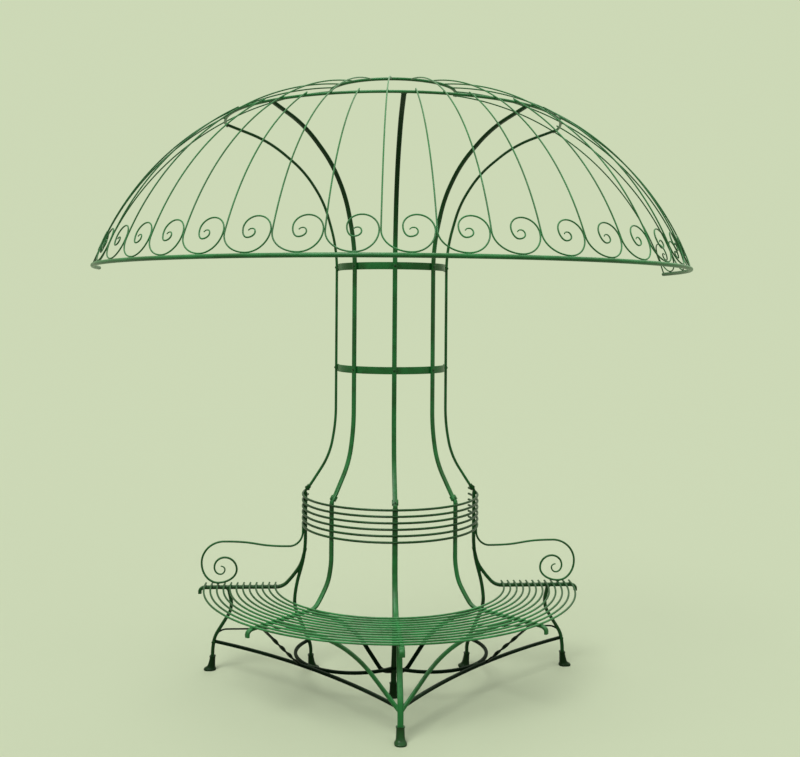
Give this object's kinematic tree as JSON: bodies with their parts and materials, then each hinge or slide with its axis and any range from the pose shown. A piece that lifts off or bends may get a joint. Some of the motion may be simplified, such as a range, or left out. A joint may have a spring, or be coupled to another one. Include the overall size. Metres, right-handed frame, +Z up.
{
  "type": "half-round garden bench with canopy",
  "caption": "Half-round iron garden bench with slatted seat, railed back and scrolled arms, its posts rising as a column to an open canopy of scroll-ended ribs.",
  "frame": {"origin": "on the vertical axis of the half circle, at the floor", "axes": "+Z up, -Y towards the middle of the front, +X to the right seen from the front"},
  "size_m": [3.1274, 1.7138, 3.118],
  "materials": {
    "green_iron": "painted"
  },
  "bodies": {
    "root": {"arm_left": "green_iron", "arm_right": "green_iron", "back_rail_1": "green_iron", "back_rail_2": "green_iron", "back_rail_3": "green_iron", "back_rail_4": "green_iron", "back_rail_5": "green_iron", "back_rail_6": "green_iron", "canopy_hoop": "green_iron", "canopy_rim": "green_iron", "column_band_lower": "green_iron", "column_band_upper": "green_iron", "column_post_centre": "green_iron", "column_post_left": "green_iron", "column_post_left_end": "green_iron", "column_post_right": "green_iron", "column_post_right_end": "green_iron", "crown_ring": "green_iron", "end_rib": "green_iron", "end_tie_left": "green_iron", "end_tie_right": "green_iron", "front_brace_left": "green_iron", "front_brace_right": "green_iron", "front_feet": "green_iron", "front_leg_centre": "green_iron", "front_leg_left": "green_iron", "front_leg_right": "green_iron", "inner_stretcher_left": "green_iron", "inner_stretcher_right": "green_iron", "long_ribs": "green_iron", "middle_post_left": "green_iron", "middle_post_right": "green_iron", "outer_stretcher_left": "green_iron", "outer_stretcher_right": "green_iron", "post_sleeves": "green_iron", "rear_brace_left": "green_iron", "rear_brace_right": "green_iron", "rear_feet": "green_iron", "rear_post_centre": "green_iron", "rear_post_left": "green_iron", "rear_post_right": "green_iron", "seat_bearer_centre": "green_iron", "seat_bearer_left": "green_iron", "seat_bearer_right": "green_iron", "seat_slat_01": "green_iron", "seat_slat_02": "green_iron", "seat_slat_03": "green_iron", "seat_slat_04": "green_iron", "seat_slat_05": "green_iron", "seat_slat_06": "green_iron", "seat_slat_07": "green_iron", "seat_slat_08": "green_iron", "seat_slat_09": "green_iron", "seat_slat_10": "green_iron", "seat_slat_11": "green_iron", "seat_slat_12": "green_iron", "short_ribs": "green_iron", "sleeve_bolts": "green_iron", "twisted_strut_left": "green_iron", "twisted_strut_right": "green_iron"}
  },
  "joints": []
}
